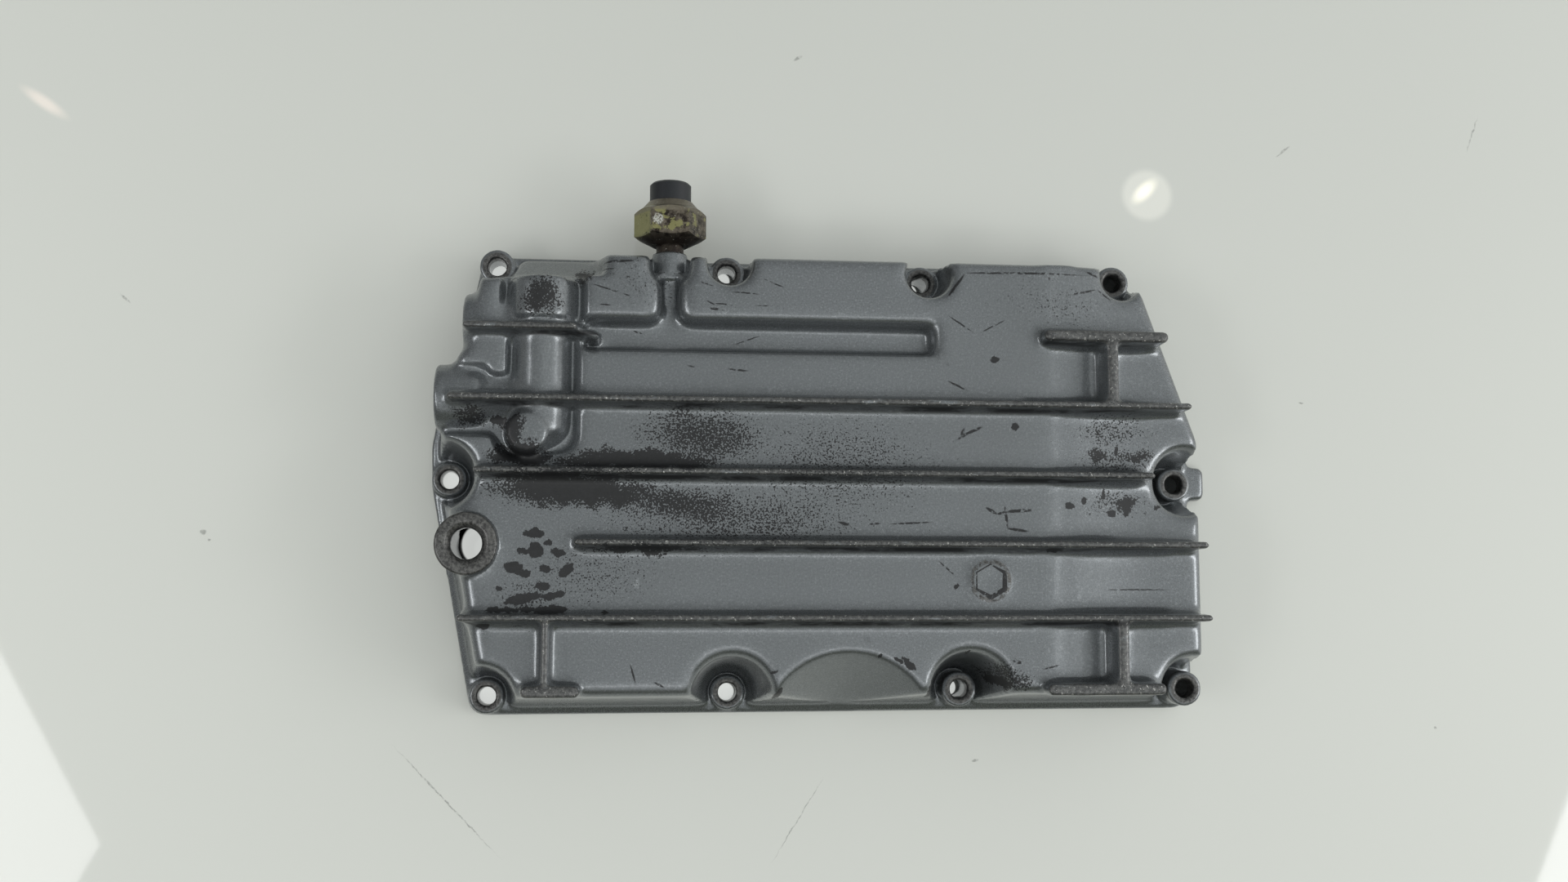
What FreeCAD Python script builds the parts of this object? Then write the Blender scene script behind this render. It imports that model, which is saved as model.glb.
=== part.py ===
import FreeCAD, Part
import math
import os

V = FreeCAD.Vector
os.makedirs("parts", exist_ok=True)

# Sump casting of a motorcycle engine, gasket face on z = 0, outer floor upwards.
# x runs along the cooling ribs, y across them, the origin is the middle of the gasket face.

# Heights above the gasket face
FLANGE_T = 5.0
DEEP_Z = 38.0
SHALLOW_Z = 31.5
CREST_Z = 45.0
DRAIN_Z = 42.0

# Casting walls
WALL_T = 3.6
FLOOR_T = 4.0
EDGE_R = 3.2
SHOULDER = 2.4
ROOT = 1.8
CREST_R = 0.6

# Flange edge: corner x, corner y, corner radius, lip and lean of the side that follows
RIM = (
    (-121.8, -82.6, 6.4, 3.3, 0.17),
    (140.5, -81.6, 8.0, 3.2, 0.09),
    (140.5, 14.5, 8.0, 3.2, 0.08),
    (122.0, 65.5, 5.0, 3.0, 0.07),
    (115.0, 81.3, 5.0, 3.2, 0.055),
    (-120.4, 81.3, 5.8, 2.6, 0.09),
    (-125.6, 58.0, 6.0, 2.6, 0.09),
    (-127.2, 46.5, 4.0, 2.6, 0.09),
    (-132.4, 39.5, 5.0, 2.8, 0.13),
    (-137.3, 12.0, 8.0, 3.0, 0.15),
    (-136.8, -3.0, 9.0, 3.0, 0.17),
)

# Bolt bosses: x, y, boss top, pocket radius at the flange and at the deep floor
BOLTS = {
    "top_left": (-114.6, 75.3, 16.0, 6.8, 8.3),
    "top_second": (-33.3, 74.4, 17.0, 6.8, 8.0),
    "top_third": (36.7, 71.8, 20.0, 6.8, 8.3),
    "top_right": (108.0, 73.6, 20.0, 6.8, 8.8),
    "right": (130.2, 0.0, 18.0, 8.0, 13.4),
    "bottom_right": (131.9, -73.3, 20.0, 8.0, 13.6),
    "bottom_third": (50.2, -73.3, 17.0, 7.6, 14.8),
    "bottom_second": (-31.7, -74.6, 9.0, 7.6, 14.8),
    "bottom_left": (-115.7, -75.5, 10.0, 8.0, 12.2),
    "left": (-130.2, 0.0, 10.0, 8.0, 12.2),
}
BOSS_R = 6.2
HOLE_R = 3.3

# Ribs: line of each rib, crest and slope of the sides
RIB_A_Y = 49.7
RIB_B_Y = 25.6
RIB_C_Y = 1.3
RIB_D_Y = -22.6
RIB_E_Y = -47.6
FOOT_Y = -71.7
RIB_T = 2.2
BAR_T = 3.8
WEB_T = 4.0
SIDE = 0.05
RIB_BASE_Z = 14.0
RIB_REACH = 133.3

# Step between the deep and the shallow floor
STEP_X = 72.0
STEP_RUN = 17.0

# Drain
DRAIN_X = -120.5
DRAIN_Y = -23.2
DRAIN_R = 10.5
DRAIN_THREAD_D = 12.0
DRAIN_PITCH = 1.5
DRAIN_LEN = 9.0

# Main gallery, along y
GALLERY_X = -97.2
GALLERY_Z = 32.0
GALLERY_HEAD_R = 11.5
GALLERY_R = 9.6
GALLERY_TOP_Y = 67.6
GALLERY_STEP_Y = 52.0
GALLERY_END_Y = 10.4
GALLERY_BORE_R = 5.0
GROOVE = 2.3
GROOVE_Z = 33.0

# Side ports, along x
PORT_R = 11.4
PORT_Z = 28.6
PORT_FACE_X = -132.5
PORT_Y = 26.6
PORT_BACK_X = -115.4
PORT_NECK_R = 8.4
PORT_NECK_Z = 29.0
UPPER_PORT_Y = 52.5
UPPER_PORT_FACE_X = -124.0
UPPER_PORT_R = 10.6
UPPER_PORT_Z = 26.6
PORT_BORE_R = 6.4
PORT_BORE_LEN = 14.0

# Relief valve housing
STUB_X = -101.2
STUB_Y = 14.2
STUB_R = 7.4
STUB_Z = 43.0
STUB_BORE_R = 4.6
STUB_LOW_Z = 12.0

# Oil trough and its channel to the switch
TROUGH_Z = 30.0
TROUGH_X0 = -83.0
TROUGH_X1 = 37.6
TROUGH_Y0 = 43.4
TROUGH_Y1 = 53.0
TROUGH_R = 2.0
CHANNEL_Z = 27.6
CHANNEL_HALF = 2.7
CHANNEL_R = 4.6
SWITCH_POCKET_Z = 16.0
SWITCH_POCKET_Y = 68.4
OILWAY_Y = 48.2
OILWAY_R = 2.5

# Pressure switch
SWITCH_X = -53.8
SWITCH_Z = 23.0
SWITCH_BOSS_R = 6.2
SWITCH_FACE_Y = 79.6
SWITCH_THREAD_D = 9.7
SWITCH_THREAD_IN = 6.5
SWITCH_STANDOFF = 2.6
SWITCH_FIT = 0.1
HEX_AF = 22.0
HEX_LEN = 9.6
HEX_CONE = 3.4
CRIMP_R = 9.6
CRIMP_LEN = 2.6
CAP_R = 7.3
CAP_LEN = 7.0
CAP_SEAT = 1.4
CAP_FIT = 0.05
CAP_SOCKET_R = 2.4
CAP_SOCKET = 4.0

# Foundry boss
MARK_X = 56.7
MARK_Y = -35.0
MARK_R = 7.2
MARK_H = 1.2
MARK_HEX_AF = 9.8

# Lever tab on the flange
TAB_X1 = 147.0
TAB_Y0 = -5.0
TAB_Y1 = 7.4
TAB_R = 2.2


def moved(points, insets):
    """Corners of a polygon after each side moves inwards by its own inset."""
    lines = []
    for i, inset in enumerate(insets):
        p = V(points[i][0], points[i][1], 0)
        q = V(points[(i + 1) % len(points)][0], points[(i + 1) % len(points)][1], 0)
        along = (q - p).normalize()
        lines.append((p + V(-along.y, along.x, 0) * inset, along))
    return [crossing(lines[i - 1], lines[i]) for i in range(len(lines))]


def crossing(a, b):
    """Meeting point of two lines given as point and direction."""
    (p, d), (q, e) = a, b
    det = d.x * e.y - d.y * e.x
    t = ((q.x - p.x) * e.y - (q.y - p.y) * e.x) / det
    return p + d * t


def outline(corners, radii, z):
    """Edges of a closed outline with an arc at each corner that has a radius."""
    n = len(corners)
    lift = V(0, 0, z)
    marks = []
    for i in range(n):
        c = corners[i]
        a = (corners[i - 1] - c).normalize()
        b = (corners[(i + 1) % n] - c).normalize()
        half = a.getAngle(b) / 2.0
        t = radii[i] / math.tan(half)
        m = (a + b).normalize() * (radii[i] / math.sin(half) - radii[i])
        marks.append((c + a * t + lift, c + m + lift, c + b * t + lift))
    edges = []
    for i, (p, m, q) in enumerate(marks):
        if radii[i] > 0:
            edges.append(Part.Arc(p, m, q).toShape())
        edges.append(Part.makeLine(q, marks[(i + 1) % n][0]))
    return edges


def rim_outline(z, at_z, grow=0.0, ease=0.0):
    """Rim outline drawn at one height with the inset of another."""
    insets = [grow + ease] * len(RIM)
    if z >= 0:
        insets = [grow + ease + lip + lean * (z - FLANGE_T) for x, y, r, lip, lean in RIM]
    radii = [max(side[2] - 0.5 * grow, 2.5) for side in RIM]
    return outline(moved(RIM, insets), radii, at_z)


def skin(*levels):
    """Solid through outlines that have matching edges."""
    faces = [Part.Face(Part.Wire(levels[0])), Part.Face(Part.Wire(levels[-1]))]
    for low, high in zip(levels, levels[1:]):
        for a, b in zip(low, high):
            if a.Curve.TypeId == "Part::GeomLine":
                p, q = a.Vertexes[0].Point, a.Vertexes[1].Point
                r, s = b.Vertexes[1].Point, b.Vertexes[0].Point
                faces.append(Part.Face(Part.makePolygon([p, q, r, s, p])))
            else:
                faces.append(Part.makeRuledSurface(a, b))
    shell = Part.makeShell(faces)
    shell.sewShape()
    solid = Part.makeSolid(Part.makeShell(shell.Faces))
    if solid.Volume < 0:
        solid.reverse()
    return solid


def easing(level, radius=EDGE_R):
    """Depths and insets of a rounded edge below a floor level."""
    k = 1.0 - math.sqrt(0.5)
    return ((level - radius, 0.0), (level - radius * k, radius * k), (level, radius))


def block(level):
    """Drafted block with a rounded upper edge."""
    steps = [rim_outline(FLANGE_T - 2.0, FLANGE_T - 2.0)]
    for z, ease in easing(level):
        steps.append(rim_outline(z, z, 0.0, ease))
    return skin(*steps)


def recess(points, floor, level, grow=0.0):
    """Sunken form with a rounded mouth: corner x, corner y, corner radius, share of the rounding."""
    radii = [p[2] for p in points]
    roof = level + 6.0
    if grow:
        corners = moved(points, [-grow] * len(points))
        sharp = [0.0] * len(points)
        return skin(outline(corners, sharp, floor - grow), outline(corners, sharp, roof))
    steps = [outline(moved(points, [0.0] * len(points)), radii, floor)]
    for z, ease in easing(level, EDGE_R * 1.1):
        insets = [-(ease + 0.05 * (z - floor)) * p[3] for p in points]
        steps.append(outline(moved(points, insets), radii, z))
    insets = [-(EDGE_R * 1.1 + 0.72) * p[3] for p in points]
    steps.append(outline(moved(points, insets), radii, level + 0.3))
    return skin(*steps)


def bar_wire(x0, x1, half, z):
    """Bar outline about the x axis with bevelled ends."""
    tip, nose = half * 0.45, half * 0.55
    right = [V(x1 - nose, -half, z), V(x1, -tip, z), V(x1, tip, z), V(x1 - nose, half, z)]
    left = [V(x0 + nose, half, z), V(x0, tip, z), V(x0, -tip, z), V(x0 + nose, -half, z)]
    return Part.makePolygon(right + left + right[:1])


def bar(length, low, high, z0, z1):
    """Drafted bar along x between two heights."""
    grown = low - high
    return Part.makeLoft([bar_wire(-grown, length + grown, low, z0), bar_wire(0, length, high, z1)], True, True)


def rib(x0, y0, x1, y1, thick, crest=CREST_Z):
    """Drafted rib with its roots spread on the two floors."""
    span = V(x1 - x0, y1 - y0, 0)
    half = thick / 2.0
    body = bar(span.Length, half + SIDE * (crest - RIB_BASE_Z), half, RIB_BASE_Z, crest)
    top = [e for e in body.Edges if e.BoundBox.ZMin > crest - 0.01]
    body = body.makeChamfer(CREST_R, top)
    body.rotate(V(0, 0, 0), V(0, 0, 1), math.degrees(math.atan2(span.y, span.x)))
    body.translate(V(x0, y0, 0))
    return body


def root(x0, x1, y, thick, floor):
    """Spread foot of a rib along x where it leaves a floor."""
    half = thick / 2.0 + SIDE * (CREST_Z - floor)
    body = bar(x1 - x0, half + ROOT + 0.3, half, floor - 0.3, floor + ROOT)
    body.translate(V(x0, y, 0))
    return body


def box(x0, y0, z0, x1, y1, z1):
    """Box between two corners."""
    return Part.makeBox(x1 - x0, y1 - y0, z1 - z0, V(x0, y0, z0))


def prism(points, vector):
    """Extruded polygon."""
    return Part.Face(Part.makePolygon(points + [points[0]])).extrude(vector)


def eased(shape, edges, size):
    """Bevels each edge that can take it."""
    marks = [(e.CenterOfMass, e.Length) for e in edges]
    for point, length in marks:
        near = [e for e in shape.Edges if (e.CenterOfMass - point).Length < 0.3]
        near = [e for e in near if abs(e.Length - length) < 1.5]
        if not near:
            continue
        try:
            out = shape.makeChamfer(size, near[:1])
        except Exception:
            continue
        if out.isValid() and len(out.Solids) == 1:
            shape = out
    return shape


def turned(points, at, axis):
    """Solid turned about an axis from radius and height pairs."""
    ring = [V(r, 0, h) for r, h in points]
    body = Part.Face(Part.makePolygon(ring + ring[:1])).revolve(V(0, 0, 0), V(0, 0, 1), 360)
    body.Placement = FreeCAD.Placement(at, FreeCAD.Rotation(V(0, 0, 1), axis))
    return body


def bolt_pocket(name, grow=0.0):
    """Round pocket, widening upwards to a rounded mouth, that clears the head of a bolt."""
    x, y, top, low, high = BOLTS[name]
    lean = (high - low) / (DEEP_Z - FLANGE_T)
    if grow:
        roof = DEEP_Z + 2.0
        base = -2.0
        wall = [(low + lean * (z - FLANGE_T) + grow, z) for z in (base, roof)]
        return turned([(0.0, base)] + wall + [(0.0, roof)], V(x, y, 0), V(0, 0, 1))
    level = SHALLOW_Z if x > STEP_X else DEEP_Z
    wall = [(low, FLANGE_T)]
    for z, ease in easing(level, EDGE_R * 0.8):
        wall.append((low + lean * (z - FLANGE_T) + ease, z))
    roof = level + 1.0
    wall.append((wall[-1][0] + 2.4, roof))
    if x > STEP_X:
        roof = DEEP_Z + 2.0
        wall.append((wall[-1][0], roof))
    return turned([(0.0, FLANGE_T)] + wall + [(0.0, roof)], V(x, y, 0), V(0, 0, 1))


def step_cut(drop=0.0):
    """Space above the shallow floor, with a soft ramp up to the deep floor."""
    far = RIM[1][0] + 20.0
    wide = RIM[4][1] + 20.0
    low = SHALLOW_Z - drop
    high = DEEP_Z - drop + 0.25
    x0 = STEP_X
    x1 = STEP_X + STEP_RUN
    rise = high - low
    bend = 2.0 * math.atan2(rise, STEP_RUN)
    radius = 0.5 * STEP_RUN / math.sin(bend)
    dx, dz = radius * math.sin(bend / 2.0), radius * (1.0 - math.cos(bend / 2.0))
    a, m, b = V(x0, -wide, high), V((x0 + x1) / 2.0, -wide, (low + high) / 2.0), V(x1, -wide, low)
    fall = Part.Arc(a, V(x0 + dx, -wide, high - dz), m).toShape()
    rest = Part.Arc(m, V(x1 - dx, -wide, low + dz), b).toShape()
    roof = DEEP_Z + 12.0
    lines = [b, V(far, -wide, low), V(far, -wide, roof), V(x0, -wide, roof), a]
    edges = [fall, rest] + [Part.makeLine(p, q) for p, q in zip(lines, lines[1:])]
    return Part.Face(Part.Wire(edges)).extrude(V(0, 2.0 * wide, 0))


def shallow_edge():
    """What rounds the outer edge of the shallow floor."""
    slack = 0.05
    low = SHALLOW_Z - EDGE_R
    steps = [rim_outline(low - 1.0, low - 1.0, 0.0, -slack)]
    for z, ease in easing(SHALLOW_Z + slack):
        steps.append(rim_outline(z, z, 0.0, ease - slack))
    edge = RIM[2][0] + 20.0
    span = RIM[4][1] + 20.0
    around = box(STEP_X + STEP_RUN, -span, low - 0.5, edge, span, SHALLOW_Z + slack)
    return around.cut(skin(*steps))


def corner_cut(grow=0.0):
    """Sloped relief beyond the head of the main gallery."""
    y0 = GALLERY_TOP_Y + 1.2 - grow
    x0 = BOLTS["top_left"][0] - 4.0
    side = [V(x0, y0, 29.0 - grow), V(x0, y0, 60.0), V(x0, 100.0, 60.0), V(x0, 100.0, -13.0 - grow)]
    slope = prism(side, V(60, 0, 0))
    marks = [(x0, -20.0), (-86.5 + grow, -20.0), (-86.5 + grow, 2.0), (-75.8 + grow, 36.0), (-66.0 + grow, 46.0)]
    marks.append((x0, 46.0))
    front = [V(x, 40, z) for x, z in marks]
    return slope.common(prism(front, V(0, 70, 0)))


def recess_marks():
    """Corners of the trough, the channel and the pocket round the switch boss."""
    half = CHANNEL_HALF
    wide = SWITCH_BOSS_R + 0.5
    end = RIM[5][1] + 12.0
    neck = SWITCH_POCKET_Y - 2.6
    return (
        (TROUGH_X0, TROUGH_Y0, TROUGH_R, 0.3),
        (TROUGH_X1, TROUGH_Y0, TROUGH_R, 0.9),
        (TROUGH_X1, TROUGH_Y1, TROUGH_R, 1.0),
        (SWITCH_X + half, TROUGH_Y1, CHANNEL_R, 1.3),
        (SWITCH_X + half, neck, 2.0, 1.2),
        (SWITCH_X + wide, SWITCH_POCKET_Y + 3.0, 2.0, 1.0),
        (SWITCH_X + wide, end, 0.0, 1.0),
        (SWITCH_X - wide, end, 0.0, 1.0),
        (SWITCH_X - wide, SWITCH_POCKET_Y + 3.0, 2.0, 1.2),
        (SWITCH_X - half, neck, 2.0, 1.3),
        (SWITCH_X - half, TROUGH_Y1, CHANNEL_R, 1.0),
        (TROUGH_X0, TROUGH_Y1, TROUGH_R, 0.3),
    )


def groove_marks():
    """Corners of the groove round the gallery, the ports and the valve housing."""
    left = GALLERY_X - GALLERY_R - GROOVE
    right = GALLERY_X + GALLERY_R + GROOVE
    head = GALLERY_HEAD_R + GROOVE
    top = GALLERY_TOP_Y + 3.0
    outer = PORT_FACE_X - 10.0
    high = PORT_Y + PORT_R - 1.4
    low = PORT_Y - PORT_R - 1.4
    neck = PORT_Y + PORT_NECK_R - 1.7
    inner = PORT_BACK_X + GROOVE
    stub = STUB_X - STUB_R - 1.0
    return (
        (stub, STUB_Y - STUB_R - 1.2, 7.0, 0.3),
        (right, GALLERY_END_Y - GROOVE, 6.0, 0.5),
        (right, GALLERY_STEP_Y, 0.0, 0.5),
        (GALLERY_X + head, GALLERY_STEP_Y, 0.0, 0.5),
        (GALLERY_X + head, top, 0.0, 0.5),
        (GALLERY_X - head + 0.6, top, 0.0, 0.4),
        (GALLERY_X - head + 0.6, GALLERY_STEP_Y, 0.0, 0.3),
        (left + 1.0, GALLERY_STEP_Y, 0.0, 0.3),
        (left + 1.0, neck, 1.2, 0.4),
        (inner - 1.0, neck, 1.6, 0.4),
        (inner - 3.0, high, 1.6, 0.3),
        (outer, high, 0.0, 0.3),
        (outer, low, 0.0, 0.3),
        (inner, low, 1.2, 0.3),
    )


def channel_bed(grow=0.0):
    """Sloping bed of the channel and the pocket under the switch boss."""
    half = CHANNEL_HALF + grow
    wide = SWITCH_BOSS_R + 0.5 + grow
    far = RIM[5][1] + 12.0
    roof = TROUGH_Z + 1.0
    marks = [(TROUGH_Y1 - 1.0, TROUGH_Z), (SWITCH_POCKET_Y, CHANNEL_Z), (far, CHANNEL_Z), (far, roof)]
    marks.append((TROUGH_Y1 - 1.0, roof))
    bed = prism([V(SWITCH_X - half, y, z - grow) for y, z in marks], V(2.0 * half, 0, 0))
    y0 = SWITCH_POCKET_Y + 3.0 - grow
    return bed.fuse(box(SWITCH_X - wide, y0, SWITCH_POCKET_Z - grow, SWITCH_X + wide, far, roof))


def scoop_cut(grow=0.0):
    """Shallow cone taken out of the lower side between two bolt bosses."""
    x = (BOLTS["bottom_second"][0] + BOLTS["bottom_third"][0]) / 2.0 - 1.2
    y = -90.1
    low, high = 10.6, 31.2
    k = (high - low) / (DEEP_Z - FLANGE_T)
    top = DEEP_Z + 8.0
    return Part.makeCone(low + grow, high + grow + k * 8.0, top - FLANGE_T, V(x, y, FLANGE_T))


def wall_form():
    """Outer walls and floors of the pan."""
    form = block(DEEP_Z).cut(step_cut())
    cuts = [shallow_edge(), scoop_cut(), corner_cut(), channel_bed()]
    cuts.append(recess(recess_marks(), TROUGH_Z, DEEP_Z))
    cuts.append(recess(groove_marks(), GROOVE_Z, DEEP_Z))
    cuts += [bolt_pocket(name) for name in BOLTS]
    for cut in cuts:
        form = form.cut(cut)
    return max(form.Solids, key=lambda s: s.Volume).removeSplitter()


def room_form():
    """Hollow inside the walls, open through the gasket face."""
    roof = DEEP_Z - FLOOR_T
    form = skin(rim_outline(0.0, -1.0, WALL_T), rim_outline(roof, roof, WALL_T))
    form = form.cut(step_cut(FLOOR_T))
    cuts = [scoop_cut(WALL_T), corner_cut(WALL_T), channel_bed(WALL_T)]
    cuts.append(recess(recess_marks(), TROUGH_Z, DEEP_Z, WALL_T))
    cuts.append(recess(groove_marks(), GROOVE_Z, DEEP_Z, WALL_T))
    cuts += [bolt_pocket(name, WALL_T) for name in BOLTS]
    for cut in cuts:
        form = form.cut(cut)
    return form.removeSplitter()


def flange():
    """Gasket flange with the lever tab."""
    plate = Part.Face(Part.Wire(rim_outline(-1.0, 0.0))).extrude(V(0, 0, FLANGE_T))
    tab = box(TAB_X1 - 12.0, TAB_Y0, 0, TAB_X1, TAB_Y1, FLANGE_T)
    tips = [e for e in tab.Edges if e.BoundBox.XMin > TAB_X1 - 0.1 and e.BoundBox.ZLength > 1.0]
    return plate.fuse(tab.makeFillet(TAB_R, tips))


def upright(x, y, z0, z1, radius, tip=0.0):
    """Round boss standing on z with its top edge eased."""
    body = Part.makeCylinder(radius, z1 - z0, V(x, y, z0))
    if tip:
        top = [e for e in body.Edges if e.BoundBox.ZMin > z1 - 0.01]
        body = body.makeChamfer(tip, top)
    return body


def along_x(x0, x1, y, z, r, low_r=0.0, high_r=0.0):
    """Cylinder along x with its ends rounded."""
    body = Part.makeCylinder(r, x1 - x0, V(x0, y, z), V(1, 0, 0))
    for at, tip in ((x0, low_r), (x1, high_r)):
        if tip:
            ring = [e for e in body.Edges if abs(e.BoundBox.XMin - at) < 0.01 and e.BoundBox.XLength < 0.01]
            body = body.makeChamfer(tip, ring)
    return body


def along_y(x, y0, y1, z, r, low_r=0.0, high_r=0.0):
    """Cylinder along y with its ends rounded."""
    body = Part.makeCylinder(r, y1 - y0, V(x, y0, z), V(0, 1, 0))
    for at, tip in ((y0, low_r), (y1, high_r)):
        if tip:
            ring = [e for e in body.Edges if abs(e.BoundBox.YMin - at) < 0.01 and e.BoundBox.YLength < 0.01]
            body = body.makeChamfer(tip, ring)
    return body


def gallery_bodies():
    """Round oilway housings shared by the outside and the hollow."""
    head = along_y(GALLERY_X, GALLERY_STEP_Y, GALLERY_TOP_Y, GALLERY_Z, GALLERY_HEAD_R, 2.0, 1.2)
    body = along_y(GALLERY_X, GALLERY_END_Y, GALLERY_STEP_Y + 6.0, GALLERY_Z, GALLERY_R, 4.5)
    port = along_x(PORT_FACE_X, PORT_BACK_X, PORT_Y, PORT_Z, PORT_R, 0.6, 2.6)
    neck = along_x(PORT_BACK_X - 6.0, GALLERY_X, PORT_Y, PORT_NECK_Z, PORT_NECK_R)
    upper = along_x(UPPER_PORT_FACE_X, GALLERY_X, UPPER_PORT_Y, UPPER_PORT_Z, UPPER_PORT_R, 0.6)
    return [head, body, port, neck, upper]


def oilway_ridges():
    """Round ridges under the trough and the channel that carry the switch oilway."""
    cross = along_x(GALLERY_X, SWITCH_X, OILWAY_Y, SWITCH_Z, SWITCH_BOSS_R)
    run = along_y(SWITCH_X, OILWAY_Y - SWITCH_BOSS_R, SWITCH_FACE_Y, SWITCH_Z, SWITCH_BOSS_R, 3.0)
    return [cross, run]


def ribs():
    """Cooling ribs, stand feet and the webs between them."""
    return [
        rib(-123.0, RIB_A_Y, -85.0, RIB_A_Y, RIB_T),
        rib(-87.6, RIB_A_Y, -77.8, RIB_A_Y - 3.2, RIB_T, CREST_Z - 2.5),
        rib(-127.6, RIB_B_Y, 127.6, RIB_B_Y, RIB_T),
        rib(-118.4, RIB_C_Y, 113.9, RIB_C_Y, RIB_T),
        rib(-85.1, RIB_D_Y, RIB_REACH - 0.8, RIB_D_Y, RIB_T),
        rib(-122.8, RIB_E_Y, RIB_REACH, RIB_E_Y, RIB_T),
        rib(75.4, RIB_A_Y, 119.6, RIB_A_Y, BAR_T),
        rib(75.0, FOOT_Y, 116.2, FOOT_Y, BAR_T),
        rib(-101.6, FOOT_Y, -82.5, FOOT_Y, BAR_T),
        rib(99.6, RIB_B_Y, 99.6, RIB_A_Y, WEB_T, CREST_Z - 0.4),
        rib(101.6, FOOT_Y, 101.6, RIB_E_Y, WEB_T, CREST_Z - 0.4),
        rib(-93.9, FOOT_Y, -93.9, RIB_E_Y, RIB_T, CREST_Z - 0.4),
    ]


def roots():
    """Spread feet of the ribs on the deep and the shallow floor."""
    out = []
    for x0, x1, y in ((-82.0, 118.0, RIB_B_Y), (-110.0, 111.0, RIB_C_Y), (-83.0, 123.0, RIB_D_Y),
                      (-113.0, 123.0, RIB_E_Y)):
        out.append(root(x0, STEP_X + 2.0, y, RIB_T, DEEP_Z))
        out.append(root(STEP_X + 2.0, x1, y, RIB_T, SHALLOW_Z))
    out.append(root(78.0, 114.0, RIB_A_Y, BAR_T, SHALLOW_Z))
    return out


def foundry_boss():
    """Low round boss with a hexagonal recess."""
    disc = upright(MARK_X, MARK_Y, DEEP_Z - 2.0, DEEP_Z + MARK_H, MARK_R, 0.7)
    k = MARK_HEX_AF / math.sqrt(3.0)
    ring = []
    for i in range(6):
        a = math.radians(60.0 * i)
        ring.append(V(MARK_X + k * math.cos(a), MARK_Y + k * math.sin(a), DEEP_Z + MARK_H - 0.9))
    return disc.cut(prism(ring, V(0, 0, 3.0)))


def shoulders(form):
    """Upright edges where the bolt pockets leave the side walls."""
    out = []
    for e in form.Edges:
        span = e.BoundBox
        if span.ZLength < 8.0 or span.ZMin > DEEP_Z - 12.0 or e.CenterOfMass.z < FLANGE_T:
            continue
        if min(math.hypot(e.CenterOfMass.x - b[0], e.CenterOfMass.y - b[1]) for b in BOLTS.values()) < 18.0:
            out.append(e)
    return out


def outside():
    """Outer shape of the casting without any hollow."""
    form = wall_form()
    form = eased(form, shoulders(form), SHOULDER)
    parts = [flange()] + gallery_bodies() + ribs() + roots() + [foundry_boss()]
    parts.append(upright(STUB_X, STUB_Y, 20.0, STUB_Z, STUB_R, 1.6))
    parts.append(upright(DRAIN_X, DRAIN_Y, 2.0, DRAIN_Z, DRAIN_R, 0.4))
    parts.append(along_y(SWITCH_X, SWITCH_POCKET_Y, SWITCH_FACE_Y, SWITCH_Z, SWITCH_BOSS_R, 1.6))
    for x, y, top, low, high in BOLTS.values():
        parts.append(upright(x, y, 0.0, top, BOSS_R, 0.4))
    for part in parts:
        form = form.fuse(part)
    return form.removeSplitter()


def hollow():
    """Inside of the pan, open through the gasket face."""
    room = room_form()
    for body in gallery_bodies() + oilway_ridges():
        room = room.cut(body)
    room = room.cut(upright(STUB_X, STUB_Y, STUB_LOW_Z, DEEP_Z, STUB_R))
    room = room.fuse(upright(DRAIN_X, DRAIN_Y, -1.0, DRAIN_Z - DRAIN_LEN, DRAIN_R - WALL_T))
    return max(room.Solids, key=lambda s: s.Volume)


def bores():
    """Bolt holes, threaded holes and oilways."""
    out = []
    for x, y, top, low, high in BOLTS.values():
        out.append(Part.makeCylinder(HOLE_R, top + 2.0, V(x, y, -1.0)))
    tap = (DRAIN_THREAD_D - DRAIN_PITCH) / 2.0
    out.append(Part.makeCylinder(tap, 14.0, V(DRAIN_X, DRAIN_Y, DRAIN_Z - 13.0)))
    mouth = DRAIN_R * 0.69
    out.append(Part.makeCone(tap, mouth, mouth - tap, V(DRAIN_X, DRAIN_Y, DRAIN_Z - mouth + tap)))
    out.append(along_y(GALLERY_X, GALLERY_END_Y + 5.0, GALLERY_TOP_Y - 5.0, GALLERY_Z, GALLERY_BORE_R))
    for face, y, z in ((PORT_FACE_X, PORT_Y, PORT_Z), (UPPER_PORT_FACE_X, UPPER_PORT_Y, UPPER_PORT_Z)):
        out.append(along_x(face - 1.0, face + PORT_BORE_LEN, y, z, PORT_BORE_R))
        out.append(along_x(face, GALLERY_X, y, z, GALLERY_BORE_R - 0.8))
    out.append(Part.makeCylinder(STUB_BORE_R, DEEP_Z, V(STUB_X, STUB_Y, 1.0)))
    thread = SWITCH_THREAD_D / 2.0 + SWITCH_FIT
    out.append(along_y(SWITCH_X, SWITCH_FACE_Y - SWITCH_THREAD_IN - 2.0, SWITCH_FACE_Y + 1.0, SWITCH_Z, thread))
    out.append(along_y(SWITCH_X, OILWAY_Y, SWITCH_FACE_Y, SWITCH_Z, OILWAY_R))
    out.append(along_x(GALLERY_X, SWITCH_X, OILWAY_Y, SWITCH_Z, OILWAY_R))
    return out


def oil_pan():
    """Finished casting."""
    pan = outside().cut(hollow())
    for bore in bores():
        pan = pan.cut(bore)
    return max(pan.Solids, key=lambda s: s.Volume)


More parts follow.
